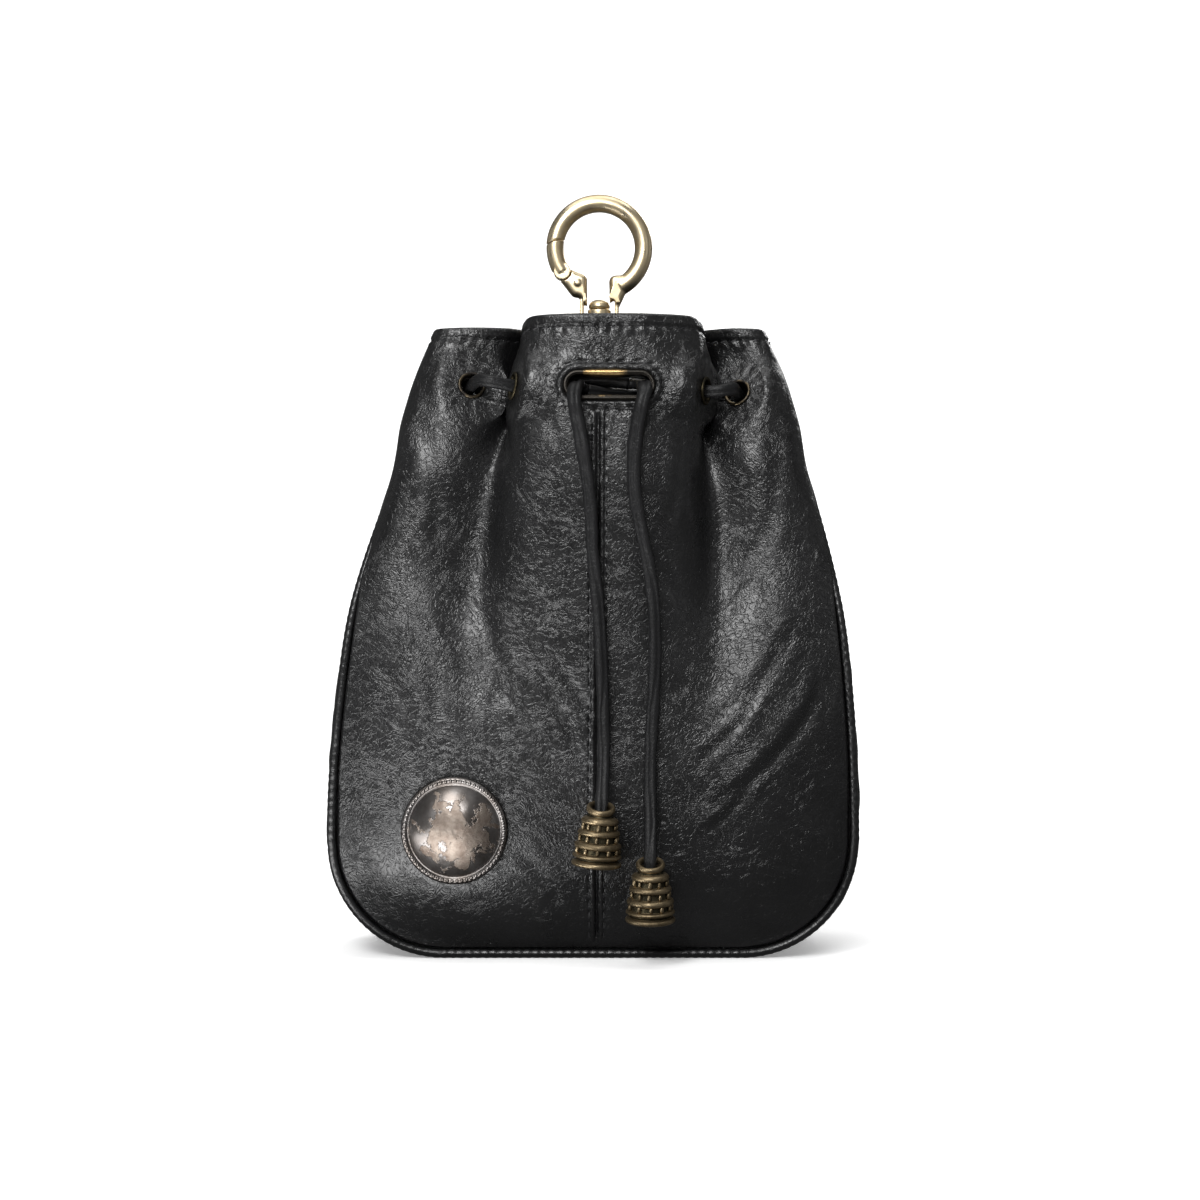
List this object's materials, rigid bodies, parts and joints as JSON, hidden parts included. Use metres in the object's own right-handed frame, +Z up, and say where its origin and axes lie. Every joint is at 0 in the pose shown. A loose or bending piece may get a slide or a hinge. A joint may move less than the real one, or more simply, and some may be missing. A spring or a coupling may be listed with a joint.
{
  "type": "drawstring pouch bag",
  "caption": "Small flat-based leather pouch bag with a gathered mouth, a drawstring through eyelets and a long grommet, bell beads, a domed button and a ring clasp on a swivel.",
  "frame": {"origin": "middle of the flat base, on the surface the pouch stands on", "axes": "+Z up from the base to the ring clasp, front face with the drawstring's free ends towards -Y, +X to the right seen from the front"},
  "size_m": [0.1492, 0.078, 0.2139],
  "materials": {
    "black_leather": "glossy, finely wrinkled grain",
    "leather_cord": "satin, folded lace",
    "blackened_brass": "dark antique, polished",
    "antique_brass": "antique, worn bright on the high places",
    "antique_gold": "satin antique gold",
    "tarnished_silver": "tarnished, mottled"
  },
  "bodies": {
    "pouch": {"front_panel": "black_leather", "back_panel": "black_leather", "gusset": "black_leather", "front_piping": "black_leather", "back_piping": "black_leather", "hanger_tab": "black_leather", "drawstring": "leather_cord", "cord_end_left": "leather_cord", "cord_end_right": "leather_cord", "slot_grommet": "blackened_brass", "eyelet_front_left": "blackened_brass", "eyelet_wall_left": "blackened_brass", "eyelet_wall_right": "blackened_brass", "eyelet_front_right": "blackened_brass", "eyelet_back_left": "blackened_brass", "eyelet_back_right": "blackened_brass", "bead_left": "antique_brass", "bead_right": "antique_brass", "concho": "tarnished_silver", "swivel_eye": "antique_gold"},
    "ring": {"clasp_ring": "antique_gold", "gate_pin": "antique_gold"},
    "gate": {"gate": "antique_gold"}
  },
  "joints": [
    {"name": "ring_swivel", "type": "hinge", "parent": "pouch", "child": "ring", "pos_m": [0.0018, 0, 0.1991], "axis": [0, 0, 1], "continuous": true},
    {"name": "gate_hinge", "type": "hinge", "parent": "ring", "child": "gate", "pos_m": [-0.00881, 0, 0.19221], "axis": [0, 1, 0], "range_deg": [0, 28], "stiffness_Nm_per_rad": 0.05, "springref_deg": -20.05}
  ]
}
